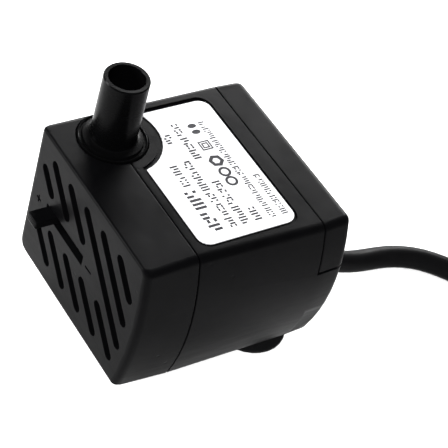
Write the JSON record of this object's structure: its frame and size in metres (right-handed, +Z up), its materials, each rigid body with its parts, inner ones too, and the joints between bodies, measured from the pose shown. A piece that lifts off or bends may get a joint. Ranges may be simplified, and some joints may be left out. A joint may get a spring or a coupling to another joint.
{
  "type": "fountain submersible pump",
  "caption": "Small submersible fountain pump: slotted strainer cover with flow slide, upright hose outlet, potted motor, suction feet and a coiled mains cord with plug.",
  "frame": {"origin": "on the floor under the middle of the pump, cord and plug left out", "axes": "+Z up along the outlet, -Y towards the strainer face, +Y towards the cord, +X towards the bowed side"},
  "size_m": [0.0837, 0.1744, 0.0532],
  "materials": {
    "black_abs": "satin moulded black plastic",
    "gloss_abs": "polished black plastic",
    "black_rubber": "matt black rubber",
    "cord_vinyl": "smooth black vinyl",
    "label_white": "white printed film",
    "white_nylon": "natural moulded nylon",
    "ferrite": "dark sintered ferrite",
    "shaft_steel": "ground stainless steel",
    "core_iron": "stacked iron laminations",
    "coil_copper": "enamelled copper wire",
    "pin_tin": "tinned brass",
    "brown_vinyl": "brown wire insulation",
    "blue_vinyl": "blue wire insulation",
    "potting_resin": "cast black epoxy",
    "tie_black": "flat black tie",
    "blade_nickel": "nickel-plated brass"
  },
  "bodies": {
    "pump": {"motor_housing": "black_abs", "rear_cap": "black_abs", "pump_chamber": "black_abs", "rotor_shaft": "shaft_steel", "front_bush": "black_rubber", "rear_bush": "black_rubber", "stator_core": "core_iron", "coil_bobbin": "white_nylon", "coil_winding": "coil_copper", "bobbin_pin_live": "pin_tin", "bobbin_pin_neutral": "pin_tin", "lead_wire_live": "brown_vinyl", "lead_wire_neutral": "blue_vinyl", "potting_compound": "potting_resin", "suction_cup_rear_right": "black_rubber", "suction_cup_rear_left": "black_rubber", "suction_cup_front": "black_rubber", "rating_label": "label_white", "strain_relief": "black_rubber", "cord_run": "cord_vinyl", "cord_coil": "cord_vinyl", "cord_tail": "cord_vinyl", "cord_tie": "tie_black", "plug_body": "cord_vinyl", "plug_blade_left": "blade_nickel", "plug_blade_right": "blade_nickel"},
    "cover": {"front_cover": "black_abs"},
    "regulator": {"flow_regulator": "black_abs"},
    "outlet": {"outlet_nozzle": "gloss_abs"},
    "rotor": {"impeller": "white_nylon", "rotor_magnet": "ferrite", "rotor_sleeve": "white_nylon"}
  },
  "joints": [
    {"name": "cover_pull", "type": "slide", "parent": "pump", "child": "cover", "axis": [0, -1, 0], "range_m": [0, 0.025]},
    {"name": "regulator_slide", "type": "slide", "parent": "cover", "child": "regulator", "axis": [1, 0, 0], "range_m": [0, 0.011]},
    {"name": "outlet_pull", "type": "slide", "parent": "pump", "child": "outlet", "axis": [0, 0, 1], "range_m": [0, 0.009]},
    {"name": "rotor_spin", "type": "hinge", "parent": "pump", "child": "rotor", "pos_m": [0, 0, 0.0208], "axis": [0, 1, 0], "continuous": true}
  ]
}
